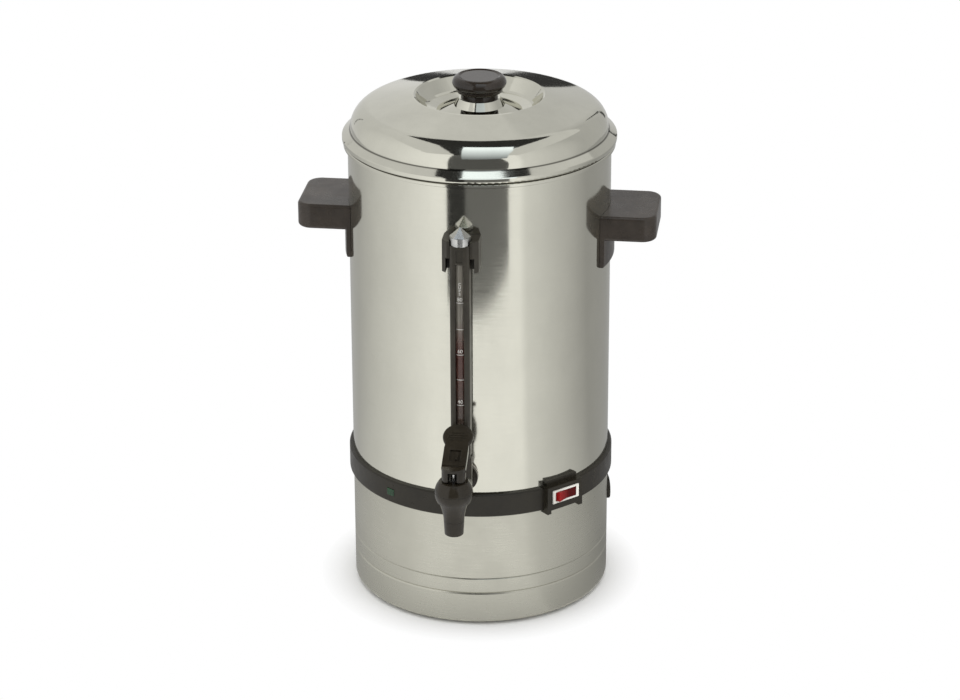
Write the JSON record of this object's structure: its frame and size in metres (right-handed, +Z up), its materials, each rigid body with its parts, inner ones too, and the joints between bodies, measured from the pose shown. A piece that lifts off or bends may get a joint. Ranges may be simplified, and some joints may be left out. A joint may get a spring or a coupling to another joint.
{
  "type": "percolating coffee urn with tap",
  "caption": "Tall stainless steel coffee urn with side handles, domed lid, sight gauge, black pull-lever tap and rocker switch on a separate base.",
  "frame": {"origin": "bottom centre of the urn's bounding box, on the surface that its feet stand on; the urn's axis is 41.15 mm behind it", "axes": "+Z up along the urn's axis, -Y to the front where the tap is, +X to the viewer's right"},
  "size_m": [0.343, 0.3427, 0.5165],
  "materials": {
    "polished_steel": "polished stainless steel",
    "satin_steel": "satin stainless steel",
    "inner_steel": "bright-drawn stainless steel",
    "plated_steel": "zinc or nickel plate",
    "phenolic": "moulded phenolic, brown-black, soft gloss",
    "black_plastic": "moulded, satin",
    "tap_plastic": "moulded, glossy black",
    "silicone": "translucent silicone rubber",
    "rubber": "matt",
    "glass": "clear",
    "white_plastic": "moulded",
    "red_plastic": "moulded, see-through red",
    "green_lens": "dark see-through green",
    "brass": "nickel-free turned brass",
    "white_ceramic": "unglazed"
  },
  "bodies": {
    "urn": {"base_pan": "satin_steel", "rubber_feet": "rubber", "base_skirt": "satin_steel", "trim_band": "black_plastic", "tank_wall": "polished_steel", "tank_floor": "inner_steel", "right_handle": "phenolic", "left_handle": "phenolic", "wall_screws": "inner_steel", "gauge_bracket": "black_plastic", "gauge_shield": "black_plastic", "gauge_glass": "glass", "gauge_seal": "silicone", "gauge_cap": "plated_steel", "tap_shank": "tap_plastic", "shank_washers": "silicone", "shank_nut": "brass", "tap_body": "tap_plastic", "tap_spout": "tap_plastic", "tap_bonnet": "tap_plastic", "switch_housing": "black_plastic", "switch_frame": "white_plastic", "indicator_lamp": "green_lens", "power_inlet": "black_plastic", "inlet_pins": "plated_steel", "brew_element": "inner_steel", "warm_element": "inner_steel", "element_clamp": "plated_steel", "tie_rod": "plated_steel", "tie_nuts": "plated_steel", "thermostat": "plated_steel", "thermal_cutout": "plated_steel", "terminal_block": "white_ceramic"},
    "lid": {"lid_shell": "polished_steel", "lid_knob": "phenolic", "knob_screw": "plated_steel"},
    "percolator_insert": {"pump_tube": "inner_steel", "coffee_basket": "inner_steel", "basket_spreader": "inner_steel"},
    "valve_stem": {"tap_stem": "inner_steel", "seat_cup": "silicone", "lever_pin": "inner_steel"},
    "tap_lever": {"tap_lever": "tap_plastic"},
    "rocker": {"switch_rocker": "red_plastic"}
  },
  "joints": [
    {"name": "lid_lift", "type": "slide", "parent": "urn", "child": "lid", "axis": [0, 0, 1], "range_m": [0, 0.4]},
    {"name": "insert_lift", "type": "slide", "parent": "urn", "child": "percolator_insert", "axis": [0, 0, 1], "range_m": [0, 0.33]},
    {"name": "stem_lift", "type": "slide", "parent": "urn", "child": "valve_stem", "axis": [0, 0, 1], "range_m": [0, 0.0026]},
    {"name": "lever_pull", "type": "hinge", "parent": "valve_stem", "child": "tap_lever", "pos_m": [0, -0.15335, 0.197], "axis": [1, 0, 0], "range_deg": [0, 40]},
    {"name": "rocker_switch", "type": "hinge", "parent": "urn", "child": "rocker", "pos_m": [0.09049, -0.05093, 0.1318], "axis": [0, 0, -1], "range_deg": [0, 17]}
  ],
  "couplings": [
    {"joint": "insert_lift", "follows": "lid_lift", "ratio": 0.825},
    {"joint": "lever_pull", "follows": "stem_lift", "rad_per_m": 268.5}
  ]
}
